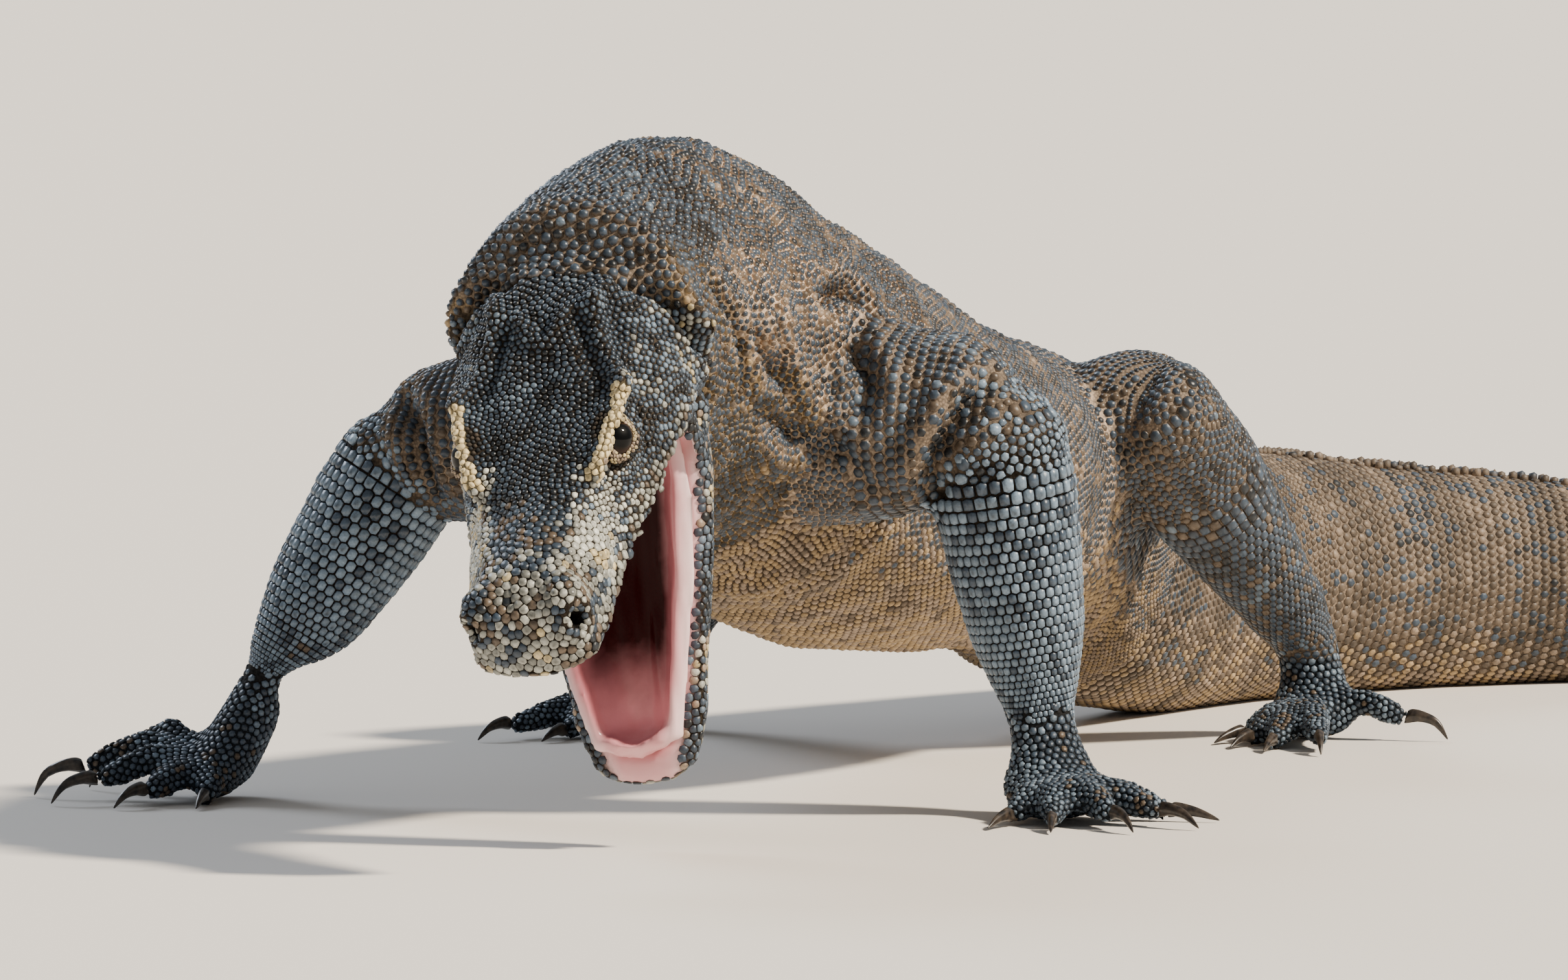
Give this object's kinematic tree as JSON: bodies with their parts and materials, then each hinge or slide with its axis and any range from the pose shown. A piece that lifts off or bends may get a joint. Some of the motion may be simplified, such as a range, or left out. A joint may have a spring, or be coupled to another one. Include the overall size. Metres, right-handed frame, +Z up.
{
  "type": "komodo dragon",
  "caption": "Life-size still komodo dragon, a large monitor lizard standing on sprawled legs, head lowered, mouth open wide, with its heavy tail curved to its left.",
  "frame": {"origin": "on the floor, under the middle of the model's bounding box", "axes": "+Z up; the animal faces -Y, so its left side is +X; the tail sweeps away to +X"},
  "size_m": [1.6018, 1.3044, 0.3521],
  "materials": {
    "hide_dark": "scaly slate-grey hide, satin, with tan skin between the scales",
    "hide_trunk": "scaly brown-grey hide, satin",
    "hide_tail": "scaly brown-grey hide in rings, faintly barred, matt",
    "claw": "dark horn, worn paler at the tip",
    "eye": "wet glossy dark brown eye",
    "mouth": "moist pink mouth lining and gums"
  },
  "bodies": {
    "root": {"cheek_web_left": "mouth", "cheek_web_right": "mouth", "claw_foot_left_1": "claw", "claw_foot_left_2": "claw", "claw_foot_left_3": "claw", "claw_foot_left_4": "claw", "claw_foot_left_5": "claw", "claw_foot_right_1": "claw", "claw_foot_right_2": "claw", "claw_foot_right_3": "claw", "claw_foot_right_4": "claw", "claw_foot_right_5": "claw", "claw_hand_left_1": "claw", "claw_hand_left_2": "claw", "claw_hand_left_3": "claw", "claw_hand_left_4": "claw", "claw_hand_left_5": "claw", "claw_hand_right_1": "claw", "claw_hand_right_2": "claw", "claw_hand_right_3": "claw", "claw_hand_right_4": "claw", "claw_hand_right_5": "claw", "eye_left": "eye", "eye_right": "eye", "foot_left": "hide_dark", "foot_right": "hide_dark", "forearm_left": "hide_dark", "forearm_right": "hide_dark", "hand_left": "hide_dark", "hand_right": "hide_dark", "head": "hide_dark", "lower_jaw": "hide_dark", "mouth_lining": "mouth", "neck": "hide_dark", "shank_left": "hide_dark", "shank_right": "hide_dark", "tail_base": "hide_tail", "tail_end": "hide_tail", "tail_middle": "hide_tail", "tail_tip": "hide_tail", "thigh_left": "hide_dark", "thigh_right": "hide_dark", "trunk": "hide_trunk", "upper_arm_left": "hide_dark", "upper_arm_right": "hide_dark"}
  },
  "joints": []
}
